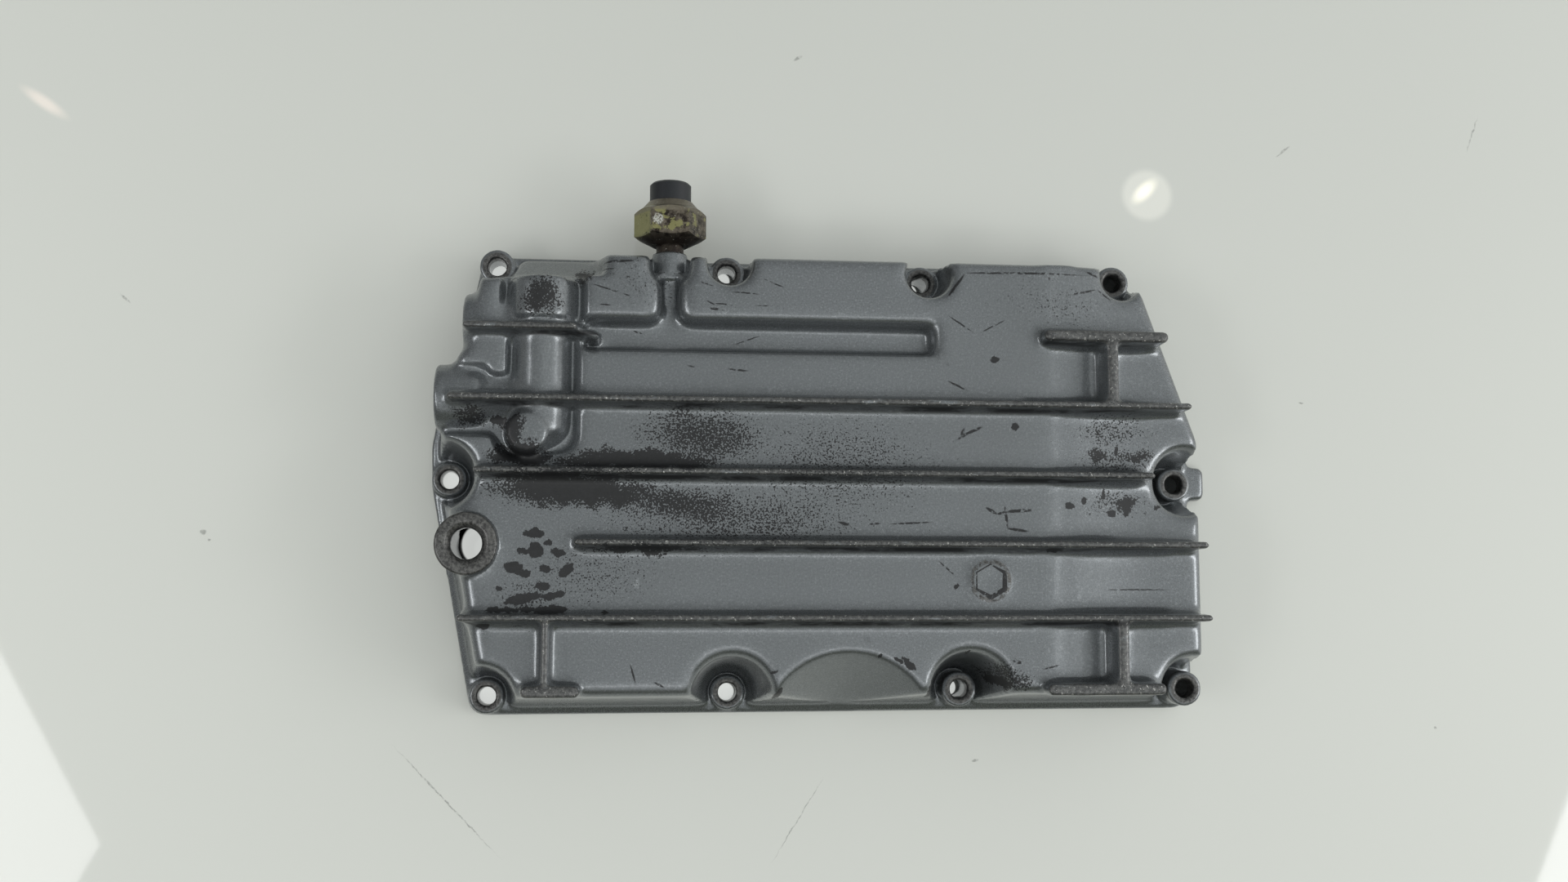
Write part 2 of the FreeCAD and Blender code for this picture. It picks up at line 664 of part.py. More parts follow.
def switch_body():
    """Hexagon steel body of the switch with its stem."""
    stem = SWITCH_THREAD_D / 2.0
    corner = HEX_AF / math.sqrt(3.0)
    hex_at = SWITCH_STANDOFF + HEX_CONE
    crimp_at = hex_at + HEX_LEN
    cap_at = crimp_at + CRIMP_LEN
    profile = [
        (0.0, -SWITCH_THREAD_IN),
        (stem, -SWITCH_THREAD_IN),
        (stem, SWITCH_STANDOFF),
        (CRIMP_R * 0.66, SWITCH_STANDOFF),
        (HEX_AF * 0.58, hex_at),
        (HEX_AF * 0.58, crimp_at - 1.6),
        (CRIMP_R + 0.6, crimp_at),
        (CAP_R + CAP_FIT + 0.6, cap_at),
        (CAP_R + CAP_FIT, cap_at),
        (CAP_R + CAP_FIT, cap_at - CAP_SEAT),
        (0.0, cap_at - CAP_SEAT),
    ]
    body = turned(profile, V(SWITCH_X, SWITCH_FACE_Y, SWITCH_Z), V(0, 1, 0))
    ring = []
    for i in range(6):
        a = math.radians(60.0 * i)
        ring.append(V(SWITCH_X + corner * math.cos(a), SWITCH_FACE_Y - 20.0, SWITCH_Z + corner * math.sin(a)))
    return body.common(prism(ring, V(0, 60, 0)))


def switch_cap():
    """Moulded insulator pressed into the switch body."""
    y = SWITCH_FACE_Y + SWITCH_STANDOFF + HEX_CONE + HEX_LEN + CRIMP_LEN - CAP_SEAT
    end = y + CAP_SEAT + CAP_LEN
    body = along_y(SWITCH_X, y, end, SWITCH_Z, CAP_R, 0.0, 0.8)
    return body.cut(along_y(SWITCH_X, end - CAP_SOCKET, end + 1.0, SWITCH_Z, CAP_SOCKET_R))


PARTS = {
    "oil_pan": oil_pan,
    "switch_body": switch_body,
    "switch_cap": switch_cap,
}

for name, build in PARTS.items():
    shape = build()
    shape.exportStep("parts/" + name + ".step")
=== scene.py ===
import math

import bmesh
import bpy
import numpy as np
from mathutils import Matrix, Vector


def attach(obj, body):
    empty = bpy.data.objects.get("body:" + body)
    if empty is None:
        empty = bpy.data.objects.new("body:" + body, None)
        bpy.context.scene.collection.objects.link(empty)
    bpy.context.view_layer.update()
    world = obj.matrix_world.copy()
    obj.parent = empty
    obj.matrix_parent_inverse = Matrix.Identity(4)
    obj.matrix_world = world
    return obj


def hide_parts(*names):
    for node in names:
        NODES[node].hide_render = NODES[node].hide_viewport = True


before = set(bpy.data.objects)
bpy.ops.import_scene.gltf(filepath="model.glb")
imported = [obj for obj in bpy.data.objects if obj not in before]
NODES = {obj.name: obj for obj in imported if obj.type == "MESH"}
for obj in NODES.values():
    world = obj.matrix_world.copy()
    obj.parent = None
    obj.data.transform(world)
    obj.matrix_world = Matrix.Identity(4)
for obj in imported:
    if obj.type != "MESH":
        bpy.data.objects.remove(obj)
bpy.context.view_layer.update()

MM = 0.001

# Camera: a phone held over the part, fitted to the bolt holes, ribs and walls of the photograph.
# NADIR is the pixel straight below it, and TILT how far its picture is turned.
PICTURE_WIDTH = 1920.0
LENS_PX = 1780.0
NADIR = (780.0, 710.0)
CENTRE = (960.0, 540.0)
TILT = 0.0122
CAMERA_XY = (-0.064, -0.035)
CAMERA_Z = 0.530
SENSOR_WIDTH = 36.0
CLIP_START = 0.01

# Heights and places on the pan, in millimetres
DEEP_Z = 38.0
SHALLOW_Z = 31.5
CREST_Z = 45.0
# y of each rib, and where along x it starts and ends
RIBS = (
    (49.7, -133.0, -76.0), (49.7, 75.0, 117.0), (25.6, -128.0, 125.0), (1.3, -117.0, 112.0),
    (-22.6, -84.5, 131.0), (-47.6, -124.0, 132.0),
)
# Centre and top of the drain boss, and the radius of its bare ring
DRAIN = (-120.5, -23.2, 42.0)
DRAIN_R = 13.4
# x, y and top of the ten bolt bosses, and the radius of their bare faces
BOLTS = (
    (-114.6, 75.3, 16), (-33.3, 74.4, 17), (36.7, 71.8, 20), (108.0, 73.6, 20), (130.2, 0.0, 18),
    (131.9, -73.3, 20), (50.2, -73.3, 17), (-31.7, -74.6, 9), (-115.7, -75.5, 10), (-130.2, 0.0, 10),
)
BOSS_R = 6.4
# The foundry boss: its centre, half its hexagon across flats, and the radius of its rubbed rim
FOUNDRY = (56.7, -35.0)
FOUNDRY_HEX = 4.9
FOUNDRY_RIM_R = 6.6
SWITCH_X = -53.8
SWITCH_Z = 23.0

# Marks on the paint: x, y, half length, half width in millimetres and turn in degrees
CHIPS = (
    (-98.6, -19.6, 2.6, 1.1, -5), (-97.8, -25.3, 2.0, 2.0, 0), (-101.5, -25.6, 2.0, 0.6, 0),
    (-93.7, -22.6, 0.9, 0.8, 0), (-90.3, -25.9, 2.1, 0.8, -10), (-105.1, -31.1, 2.5, 1.4, -15),
    (-101.0, -33.0, 1.5, 0.9, 0), (-94.7, -31.5, 1.5, 0.7, 0), (-87.7, -31.9, 2.3, 1.1, 40),
    (-95.3, -37.3, 2.1, 0.8, 0), (-92.0, -40.3, 3.2, 0.8, 12), (-101.6, -41.3, 4.8, 1.2, 12),
    (-108.2, -45.1, 4.8, 0.6, 0), (-99.9, -45.0, 1.7, 0.6, 0), (-92.4, -45.0, 4.3, 1.1, 3),
    (-109.8, -38.1, 0.9, 0.5, -20), (-114.6, -50.4, 2.0, 0.6, 0), (-74.6, -45.7, 1.0, 0.4, 0),
    (103.9, 10.7, 0.6, 1.2, 0), (59.5, 41.6, 1.2, 0.7, 0), (66.1, 18.5, 0.9, 0.8, 0),
    (107.4, -7.6, 1.8, 1.1, 20), (107.0, -10.4, 0.9, 1.6, 10), (101.7, -11.2, 1.5, 0.9, 0),
    (85.7, -9.0, 1.2, 0.8, 0), (91.3, -7.1, 0.8, 0.7, 0), (98.5, -4.7, 0.6, 1.2, 0),
    (119.1, -8.8, 1.2, 0.3, 25), (78.6, -24.5, 2.4, 0.5, 0), (61.9, -69.8, 2.5, 0.9, -25),
    (-16.0, -73.4, 0.8, 1.8, -25), (18.5, -60.2, 0.5, 0.4, 0), (24.4, -61.7, 1.3, 0.4, -30),
    (28.3, -63.2, 2.2, 0.7, -40), (36.7, -73.2, 1.2, 1.8, 15), (-17.7, -65.9, 1.0, 0.3, 30),
    (45.0, -37.2, 0.5, 0.4, 0), (66.4, -62.8, 0.7, 0.3, 0), (49.5, -59.5, 0.7, 0.3, 20),
)
SCRATCHES = (
    (-75.5, 63.9, 5.1, 0.11, -17), (-68.8, 61.9, 1.3, 0.11, -16), (-74.6, 70.9, 2.6, 0.10, -2),
    (-71.0, 73.6, 5.4, 0.31, 4), (-67.7, 68.0, 1.5, 0.10, -15), (-35.5, 59.3, 3.1, 0.11, -6),
    (-39.9, 59.7, 1.5, 0.13, -28), (-28.0, 63.4, 4.4, 0.12, -4), (-20.6, 59.1, 3.9, 0.07, 1),
    (-18.1, 66.9, 3.6, 0.13, -22), (-64.9, 50.3, 1.8, 0.12, -17), (-26.8, 48.2, 4.7, 0.09, 20),
    (-46.5, 37.6, 1.3, 0.15, -14), (-30.5, 36.6, 3.3, 0.20, -5), (-41.5, 66.3, 2.5, 0.10, -17),
    (-38.4, 57.6, 2.8, 0.26, -4), (-75.9, 58.3, 1.8, 0.15, -2), (45.7, 67.6, 5.1, 0.30, 54),
    (70.0, 72.6, 21.3, 0.22, 1), (95.7, 73.6, 2.5, 0.27, -21), (79.3, 70.8, 1.8, 0.20, -69),
    (91.8, 66.8, 5.1, 0.20, 13), (100.4, 66.3, 3.0, 0.20, -34), (58.7, 53.5, 4.7, 0.12, 28),
    (47.2, 54.1, 4.9, 0.14, -33), (45.8, 32.4, 3.6, 0.20, -26), (47.9, 15.0, 2.7, 0.33, 31),
    (47.5, 16.0, 1.8, 0.33, 68), (51.3, 16.7, 3.4, 0.33, 24), (57.5, -11.0, 2.3, 0.33, -30),
    (60.9, -11.7, 1.4, 0.30, 18), (67.4, -10.9, 5.2, 0.39, 4), (62.6, -12.9, 4.1, 0.30, -83),
    (66.5, -17.5, 3.6, 0.33, -8), (109.8, -38.0, 11.4, 0.11, 0), (78.0, -64.5, 2.8, 0.17, 13),
    (41.6, -30.8, 3.5, 0.13, -41), (-65.0, -66.2, 3.2, 0.17, -74), (-56.3, -69.9, 1.8, 0.21, -28),
    (6.0, -15.7, 2.1, 0.33, -14), (16.8, -15.7, 2.0, 0.20, 3), (29.2, -15.4, 7.1, 0.17, 3),
)
# Soot, oil and flaked patches: x, y, half length, half width, turn and how dense they are
SOOT = (
    (-85.0, -4.8, 37.0, 8.5, -3, 1.35), (-50.0, -9.5, 38.0, 10.0, -8, 0.85),
    (-66.0, 4.6, 40.0, 4.6, 1, 1.3), (-42.0, 13.5, 32.0, 15.0, -4, 0.78),
    (5.0, 4.0, 52.0, 26.0, 0, 0.52), (-30.0, -14.0, 62.0, 16.0, 0, 0.62),
    (-102.7, 7.0, 15.0, 4.4, 0, 1.35), (-105.0, 14.0, 5.2, 8.0, 0, 1.2),
    (-121.0, 19.5, 9.0, 5.0, 0, 0.9), (-111.6, 17.7, 3.6, 3.0, 0, 1.4),
    (104.0, 5.5, 24.0, 10.0, 0, 0.58), (104.0, -8.0, 20.0, 8.0, 0, 0.56),
    (107.5, -8.0, 7.5, 5.0, 20, 1.0), (96.5, 8.8, 5.5, 4.4, -30, 1.0),
    (112.0, 8.6, 8.0, 4.0, 8, 0.92), (103.0, 18.0, 20.0, 9.0, 0, 0.6),
    (-60.0, -24.6, 24.0, 2.6, 0, 1.4), (-83.5, 69.5, 4.8, 5.4, 0, 1.0),
    (-100.0, -42.0, 18.0, 12.0, 0, 0.5), (64.0, -68.0, 12.0, 6.0, -20, 0.8),
    (-98.0, 60.0, 8.2, 10.4, 0, 1.0), (-80.0, -33.0, 40.0, 16.0, 0, 0.44),
    (-60.0, 66.0, 22.0, 12.0, 0, 0.38), (80.0, 62.0, 40.0, 14.0, 0, 0.36),
)
# A mark reaches this far past its own size, and a bolt boss this far past its centre
MARK_SPARE = 3.0
BOSS_SPARE = 9.0
# Chips and scratches are drawn this many times their size, plus this many millimetres in width
CHIP_LONGER = 1.3
CHIP_WIDER = (1.3, 0.25)
LINE_WIDER = (1.3, 0.1)

# Painted light: places under the bolt holes and the drain where the table glows, for the bright table seen
# through them: x, y and half sizes
PAINTED_GLOW_SPOTS = (
    (-115.2, 76.2, 3.0, 3.0), (-34.2, 75.2, 3.0, 3.0), (36.0, 72.4, 3.0, 3.0), (50.6, -73.8, 2.0, 2.6),
    (-31.9, -75.0, 3.2, 3.2), (-116.0, -76.0, 3.2, 3.2), (-131.0, 0.2, 3.2, 3.2), (-121.6, -22.6, 5.0, 6.6),
)
PAINTED_GLOW_SHARE = 0.66
# Painted shade on the table under the drain, for the dark hollow seen through it beside them
DRAIN_SHADE_SPOT = (-124.5, -22.5, 9.5, 10.0)
# Painted reflections of lamps, drawn as glow on the table, and its own scratches: x, y, half sizes and turn
# in millimetres and degrees
PINK_REFLECTION = (-277.0, 134.5, 10.5, 2.6, -34)
WARM_REFLECTION = (128.0, 114.0, 6.5, 3.0, 44)
REFLECTION_DISC = (129.0, 112.5, 10.5, 10.5, 0)
PINK_REFLECTION_SHARE = 0.22
WARM_REFLECTION_SHARE = 0.6
REFLECTION_DISC_SHARE = 0.13
TABLE_MARKS = (
    (-246.0, 64.0, 2.0, 0.4, -40), (-216.0, -18.5, 1.0, 0.9, 0), (-6.0, 161.5, 1.6, 0.5, 30),
    (184.0, 131.5, 3.2, 0.4, 40), (262.0, 141.0, 6.5, 0.3, 70), (-129.6, -113.0, 22.0, 0.25, -46),
    (-5.6, -121.0, 14.5, 0.2, 58), (59.6, -100.5, 1.2, 0.4, 20), (-214.0, -21.5, 0.5, 0.4, 0),
    (237.0, -90.0, 0.6, 0.5, 0), (188.0, 33.0, 0.9, 0.4, 0),
)
TABLE_SIZE = 4.0
# The bright windows that the table and the paint mirror: corners in metres, and strength
PANELS = (
    ("left_panel", ((-0.452, -0.228, 0.60), (-0.70, 0.22, 0.60), (-0.90, 0.05, 0.60), (-0.60, -0.50, 0.60)),
     5.0),
    ("right_panel", ((0.60, -0.405, 0.60), (1.05, -0.42, 0.60), (1.25, 0.15, 0.60), (0.85, 0.15, 0.60)),
     7.0),
    ("near_panel", ((-0.35, -0.44, 0.95), (0.40, -0.44, 0.95), (0.40, -0.58, 0.95), (-0.35, -0.58, 0.95)),
     2.6),
)

# Voxel size of the casting's skin in metres, and how many triangles it keeps
SKIN_VOXEL = 0.00072
SKIN_TRIANGLES = 190000
# Vertices of the source that are nearer than this are one
WELD = 1e-6
# How often the whole skin, then its edges and then its valleys are smoothed, and how far each time
SKIN_PASSES = 3
EDGE_PASSES = 12
VALLEY_PASSES = 26
PASS_SHARE = 0.5
# After this many passes over the valleys their normals are worked out again
NORMALS_EVERY = 5
# Ribs above the deep floor and the edge of the flange are too thin for the passes over the edges
RIB_FOOT = 1.5
FLANGE_FOOT = 2.0
# Size of the slight unevenness of flat faces in metres, and its seed
UNEVEN = 0.000006
SEED = 7
# The ramp to the shallow end starts and ends here, and the skin's own gentler fall here
RAMP = (72.0, 89.0)
FALL = (68.0, 120.0)
# Heights between which the fall takes hold on the walls, and lets go on the ribs
FALL_GROWS = (18.0, 30.0)
FALL_FADES = (38.5, 44.5)
# Bores and faces that a cutter left sharp: radii, and where the side ports and the switch boss begin
SHARP_BOLT_R = 6.5
SHARP_DRAIN_R = 11.0
SHARP_SWITCH_R = 6.6
SHARP_PORT_X = -131.0
SHARP_SWITCH_Y = 60.0
# Where the paint is divided into strips along x, and how far the outer strips reach
STRIPS = (-88.0, -30.0, 50.0)
STRIP_REACH = 200.0


def srgb(r, g, b):
    """Linear colour of a display colour from 0 to 255."""
    return tuple(((v / 255.0 + 0.055) / 1.055) ** 2.4 if v > 10 else v / 255.0 / 12.92 for v in (r, g, b))


# Colours of the pan
PAINT_DEEP = srgb(106, 110, 112)
PAINT_PALE = srgb(117, 121, 124)
FLECK_LIGHT = srgb(158, 162, 165)
FLECK_DARK = srgb(88, 91, 93)
METAL_DARK = srgb(50, 50, 50)
METAL_PALE = srgb(104, 104, 102)
METAL_DOT = srgb(190, 190, 186)
PRIMER_DARK = srgb(18, 19, 20)
PRIMER_PALE = srgb(40, 41, 43)
# Colours of the switch
STEEL_DARK = srgb(38, 31, 27)
STEEL_PALE = srgb(112, 104, 92)
OLIVE_FILM = srgb(146, 144, 98)
SILVER = srgb(196, 196, 188)
OILY = srgb(36, 29, 25)
COLLAR = srgb(120, 114, 100)
SPARKLE = srgb(214, 214, 204)
PLASTIC_DARK = srgb(14, 17, 20)
PLASTIC_PALE = srgb(28, 33, 39)
# Colours of the table and the room
TABLE_DARK = srgb(216, 218, 212)
TABLE_PALE = srgb(220, 222, 216)
TABLE_SCRATCH = srgb(92, 94, 90)
# painted shade on the table under the drain
DRAIN_SHADE_COLOUR = srgb(20, 20, 20)
# painted light: the glow of the table under the bolt holes and the drain
PAINTED_GLOW_COLOUR = srgb(232, 235, 232)
NO_LIGHT = (0.0, 0.0, 0.0)
# glows of the painted lamp reflections on the table
PINK_GLOW = (1.0, 0.72, 0.60)
DISC_GLOW = (1.0, 0.97, 0.84)
WARM_GLOW = (1.0, 0.93, 0.72)
WHITE_GLOW = (1.0, 1.0, 1.0, 1.0)
ROOM = srgb(216, 219, 218)
ROOM_SIDE = srgb(242, 243, 241)
ROOM_DIM = srgb(70, 74, 50)

# Noises of the paint: scale, detail, roughness, and where needed how it is moved and stretched
BROAD = (22, 3, 0.5)
GRAIN = (2600, 2, 0.6)
FLECK = (1500, 3, 0.65, (0.3, 0.1, 0.0))
PEEL = (420, 3, 0.55, (0.1, 0.7, 0.2))
LINE_GAPS = (600, 2, 0.6, (0.2, 0.2, 0.2))
SPECK = (1500, 2, 0.5, (0.5, 0.5, 0.1))
PATCH = (420, 3, 0.65, (0.2, 0.5, 0.4))
CREST_RUB = (260, 4, 0.7, (0, 0, 0), (0.35, 1, 1))
CREST_DOTS = (1000, 3, 0.7, (0.6, 0.1, 0))
FLANK_SHADE_NOISE = (70, 5, 0.7, (0.1, 0, 0.3), (0.5, 1.6, 1))
RIM_RUB = (700, 4, 0.7)
HEX_SHADE_NOISE = (520, 3, 0.7, (0.3, 0, 0))
METAL_TONE = (900, 4, 0.75)
PRIMER_TONE = (800, 3, 0.6, (0, 0.3, 0))
# Noises of the switch and the table
BLOT = (330, 5, 0.7)
FINE = (1500, 3, 0.65)
OLIVE = (210, 4, 0.6, (0.3, 0, 0.1))
MOULDED = (1800, 3, 0.6)
CLOUD = (3.0, 2, 0.5)
TABLE_RUB = (500, 3, 0.7)
# How a border is shaken: scale of the noise, reach in metres, detail and how it is moved
SHAKE_ROUGH = 0.6
SOOT_EDGE = (110, 0.012, 4.0)
CHIP_EDGE = (480, 0.0034, 5.0)
LINE_EDGE = (700, 0.0005, 3.0, (0.4, 0, 0))
SILVER_EDGE = (500, 0.002)
SCRATCH_EDGE = (400, 0.0016)

# Ramps: the two values between which something turns, and what it is there if not 0 and 1
UPWARD = (-0.15, 0.05)
LIGHT_FLECKS = (0.52, 0.70, 0.0, 0.45)
DARK_FLECKS = (0.48, 0.34, 0.0, 0.40)
CHIP_BORDER = (0.94, 1.06, 1.0, 0.0)
LINE_BORDER = (0.75, 1.25, 1.0, 0.0)
LINE_BREAKS = (0.36, 0.5)
SOOT_FADE = (0.1, 1.3)
RUBBED = (0.30, 0.42)
DOTTED = (0.61, 0.68)
FLANK_SHADE_PATCHES = (0.40, 0.56, 0.25, 1.0)
DRAIN_BORDER = (0.94, 1.0, 1.0, 0.0)
BOSS_BORDER = (0.95, 1.02, 1.0, 0.0)
RIM_WORN = (0.42, 0.5)
HEX_LEFT = (0.36, 0.46)
TONES = (0.35, 0.65)
# The same in millimetres: from the crest of a rib, beside a rib, above the floor and at the foundry mark
CREST_BAND = (-1.5, -0.6)
FLANK_BAND = (0.3, 1.6, 1.0, 0.0)
FLANK_Z = (36.5, 38.5)
HEX_BAND = (-6, 8)
HEX_LINE = (0.25, 0.85)
RIM_BAND = (0.4, 1.1, 1.0, 0.0)
# Painted shade lies this far below a rib's middle line, and stops this far before the rib ends
FLANK_OFFSET = 1.9
FLANK_END = 2
# How far below a boss's top the middle of its bare face lies, and how far the face reaches
DRAIN_SINK = 0.3
DRAIN_DEEP = 2.4
BOSS_SINK = 2.5
BOSS_DEEP = 4.2
# Soot starts where the speckle is above CLEAN less the soot's share; SOOT_BLUR softens that border
CLEAN = 0.735
SOOT_SHARE = 0.38
SPECK_SHARE = 0.78
PATCH_SHARE = 0.22
SOOT_BLUR = 0.02
RUB_SHARE = 0.85

# Gloss of the paint, and bump depths in metres
PAINT_ROUGH = (0.25, 0.31)
GRAIN_ROUGH = 0.10
BARE_ROUGH = 0.52
PAINT_METALLIC = (0.62, 0.15)
PAINT_COAT = (0.4, 0.08)
COAT_ROUGH = 0.12
PEEL_DEPTH = 0.5
GRAIN_DEPTH = 0.12
PAINT_BUMP = (0.35, 0.00022)

# The switch: heights along y in millimetres, where its finish changes, and its shares and gloss
STEEL_BLOTS = (0.36, 0.62)
OLIVE_BLOTS = (0.54, 0.60)
OLIVE_KEPT = (0.30, 0.42)
OLIVE_FRONT_Y = (84.5, 86.0)
OLIVE_Y = (84.0, 85.4)
OLIVE_SIDE_X = (-61.6, -60.4, 1.0, 0.0)
OLIVE_SHARE = 0.85
SILVER_SPOT = (-58.2, 89.6, 2.0, 2.0)
SILVER_BORDER = (0.7, 1.1, 1.0, 0.0)
SILVER_GRAIN = (0.42, 0.52)
OILY_Y = (83.0, 86.0, 0.85, 0.0)
COLLAR_Y = (92.6, 93.4)
COLLAR_SHARE = 0.75
SPARKLES = (0.66, 0.72)
STEEL_METALLIC = 0.7
STEEL_ROUGH = (0.48, 0.28)
FINE_DEPTH = 0.4
STEEL_BUMP = (0.45, 0.0003)
PLASTIC_ROUGH = (0.38, 0.5)
PLASTIC_BUMP = (0.2, 0.0001)

# The table: borders of its marks and of the painted lamp reflections in it
SCRATCH_BORDER = (0.6, 1.4, 1.0, 0.0)
SCRATCH_SHARE = (0.35, 0.6, 0.1, 0.5)
DRAIN_SHADE_BORDER = (0.9, 1.0, 1.0, 0.0)
PAINTED_GLOW_BORDER = (0.9, 1.05, PAINTED_GLOW_SHARE, 0.0)
PINK_BORDER = (0.2, 1.2, 1.0, 0.0)
DISC_BORDER = (0.75, 1.08, 1.0, 0.0)
WARM_BORDER = (0.1, 1.3, 1.0, 0.0)
TABLE_ROUGH = 0.035
# The room, by direction: where its dim part and its bright sides begin, and how the light falls off
DIM_Y = (-0.7, -0.2, 1.0, 0.0)
DIM_Z = (0.45, 0.78, 1.0, 0.0)
SIDES = (0.55, 0.95)
ROOM_LIGHT = 1.06
LIGHT_BY_X = 0.85
LIGHT_BY_Y = 0.5
MOST_X = 0.3
LEAST_Y = -0.2
LEAST_LIGHT = 0.35


# Camera and picture
def set_camera():
    down = Vector(((NADIR[0] - CENTRE[0]) / LENS_PX, (NADIR[1] - CENTRE[1]) / LENS_PX, 1.0)).normalized()
    along = Vector((1.0, TILT, 0.0))
    along.z = -(along.x * down.x + along.y * down.y) / down.z
    along.normalize()
    up = -down
    across = up.cross(along)
    # rows are the world axes seen from the camera, x right, y down, z forward
    rows = Matrix((along, across, up))
    turn = Matrix([(row[0], -row[1], -row[2]) for row in rows])
    cam = bpy.data.cameras.new("camera")
    cam.sensor_width = SENSOR_WIDTH
    cam.lens = LENS_PX / PICTURE_WIDTH * SENSOR_WIDTH
    cam.clip_start = CLIP_START
    obj = bpy.data.objects.new("camera", cam)
    bpy.context.scene.collection.objects.link(obj)
    obj.matrix_world = Matrix.Translation(Vector((CAMERA_XY[0], CAMERA_XY[1], CAMERA_Z))) @ turn.to_4x4()
    bpy.context.scene.camera = obj


# Node helpers
class Tree:
    """Short names for nodes that work on a position."""

    def __init__(self, nt, coordinates="Object"):
        self.nt = nt
        self.pos = nt.nodes.new("ShaderNodeTexCoord").outputs[coordinates]

    def put(self, socket, value):
        """Gives a socket a number, a colour or a link."""
        if isinstance(value, (int, float)):
            socket.default_value = value
        elif isinstance(value, tuple):
            extra = (1.0,) if len(value) == 3 and len(socket.default_value) == 4 else ()
            socket.default_value = value + extra
        else:
            self.nt.links.new(value, socket)

    def math(self, op, a, b=0.0):
        n = self.nt.nodes.new("ShaderNodeMath")
        n.operation = op
        for i, v in enumerate((a, b)):
            self.put(n.inputs[i], v)
        return n.outputs[0]

    def add(self, a, b):
        return self.math("ADD", a, b)

    def sub(self, a, b):
        return self.math("SUBTRACT", a, b)

    def mul(self, a, b):
        return self.math("MULTIPLY", a, b)

    def top(self, a, b):
        return self.math("MAXIMUM", a, b)

    def low(self, a, b):
        return self.math("MINIMUM", a, b)

    def size(self, a):
        return self.math("ABSOLUTE", a)

    def ramp(self, value, a, b, x=0.0, y=1.0):
        """Turns softly from x to y as the value goes from a to b."""
        n = self.nt.nodes.new("ShaderNodeMapRange")
        n.interpolation_type = "SMOOTHSTEP"
        for i, v in enumerate((value, a, b, x, y)):
            self.put(n.inputs[i], v)
        return n.outputs[0]

    def band(self, value, a, b, x=0.0, y=1.0):
        """A ramp whose two ends are in millimetres."""
        return self.ramp(value, a * MM, b * MM, x, y)

    def noise(self, scale, detail, rough, offset=(0, 0, 0), stretch=(1, 1, 1), colour=False):
        m = self.nt.nodes.new("ShaderNodeMapping")
        self.put(m.inputs["Vector"], self.pos)
        m.inputs["Location"].default_value = offset
        m.inputs["Scale"].default_value = stretch
        n = self.nt.nodes.new("ShaderNodeTexNoise")
        self.nt.links.new(m.outputs[0], n.inputs["Vector"])
        n.inputs["Scale"].default_value = scale
        n.inputs["Detail"].default_value = detail
        n.inputs["Roughness"].default_value = rough
        return n.outputs[1 if colour else 0]

    def shaken(self, scale, reach, detail=3.0, offset=(0, 0, 0)):
        """The position moved about by noise, reach in metres."""
        n = self.nt.nodes.new("ShaderNodeVectorMath")
        n.operation = "MULTIPLY_ADD"
        self.put(n.inputs[0], self.noise(scale, detail, SHAKE_ROUGH, offset, colour=True))
        n.inputs[1].default_value = (reach, reach, reach)
        m = self.nt.nodes.new("ShaderNodeVectorMath")
        m.operation = "SUBTRACT"
        self.put(m.inputs[0], self.pos)
        m.inputs[1].default_value = (reach / 2, reach / 2, reach / 2)
        self.put(n.inputs[2], m.outputs[0])
        return n.outputs[0]

    def oval(self, where, x, y, a, b, turn=0.0, z=0.0, c=1000.0):
        """Distance from a mark's centre, 1 at its border; sizes in millimetres."""
        m = self.nt.nodes.new("ShaderNodeMapping")
        m.vector_type = "TEXTURE"
        self.put(m.inputs["Vector"], where)
        m.inputs["Location"].default_value = (x * MM, y * MM, z * MM)
        m.inputs["Rotation"].default_value = (0, 0, math.radians(turn))
        m.inputs["Scale"].default_value = (a * MM, b * MM, c * MM)
        n = self.nt.nodes.new("ShaderNodeVectorMath")
        n.operation = "LENGTH"
        self.nt.links.new(m.outputs[0], n.inputs[0])
        return n.outputs[1]

    def ovals(self, where, rows):
        """Distance from the nearest of several marks."""
        far_off = 9.0
        found = far_off
        for x, y, a, b, turn in rows:
            found = self.low(found, self.oval(where, x, y, a, b, turn))
        return found

    def axes(self, vector=None):
        n = self.nt.nodes.new("ShaderNodeSeparateXYZ")
        self.nt.links.new(vector or self.pos, n.inputs[0])
        return n.outputs[0], n.outputs[1], n.outputs[2]

    def upright(self):
        """How far up the surface faces, from -1 to 1."""
        return self.axes(self.nt.nodes.new("ShaderNodeNewGeometry").outputs["Normal"])[2]

    def mix(self, fac, a, b):
        """Between two colours."""
        n = self.nt.nodes.new("ShaderNodeMix")
        n.data_type = "RGBA"
        self.put(n.inputs[0], fac)
        self.put(n.inputs[6], a)
        self.put(n.inputs[7], b)
        return n.outputs[2]

    def blend(self, fac, a, b):
        """Between two numbers."""
        n = self.nt.nodes.new("ShaderNodeMix")
        self.put(n.inputs[0], fac)
        self.put(n.inputs[2], a)
        self.put(n.inputs[3], b)
        return n.outputs[0]

    def bump(self, height, strength, distance):
        n = self.nt.nodes.new("ShaderNodeBump")
        n.inputs["Strength"].default_value = strength
        n.inputs["Distance"].default_value = distance
        self.put(n.inputs["Height"], height)
        return n.outputs[0]


class Finish(Tree):
    """A material of one shader."""

    def __init__(self, name):
        self.mat = bpy.data.materials.new(name)
        self.mat.use_nodes = True
        nt = self.mat.node_tree
        nt.nodes.clear()
        out = nt.nodes.new("ShaderNodeOutputMaterial")
        self.bsdf = nt.nodes.new("ShaderNodeBsdfPrincipled")
        nt.links.new(self.bsdf.outputs[0], out.inputs[0])
        super().__init__(nt)

    def look(self, **values):
        """Gives the shader's own sockets their values, named as base_color is."""
        for name, value in values.items():
            self.put(self.bsdf.inputs[name.replace("_", " ").title()], value)


# Materials of the casting
def nearby(rows, left, right):
    """The marks that reach into a strip of the pan between two x values."""
    return [
        row for row in rows
        if row[0] + row[2] + MARK_SPARE > left and row[0] - row[2] - MARK_SPARE < right
    ]


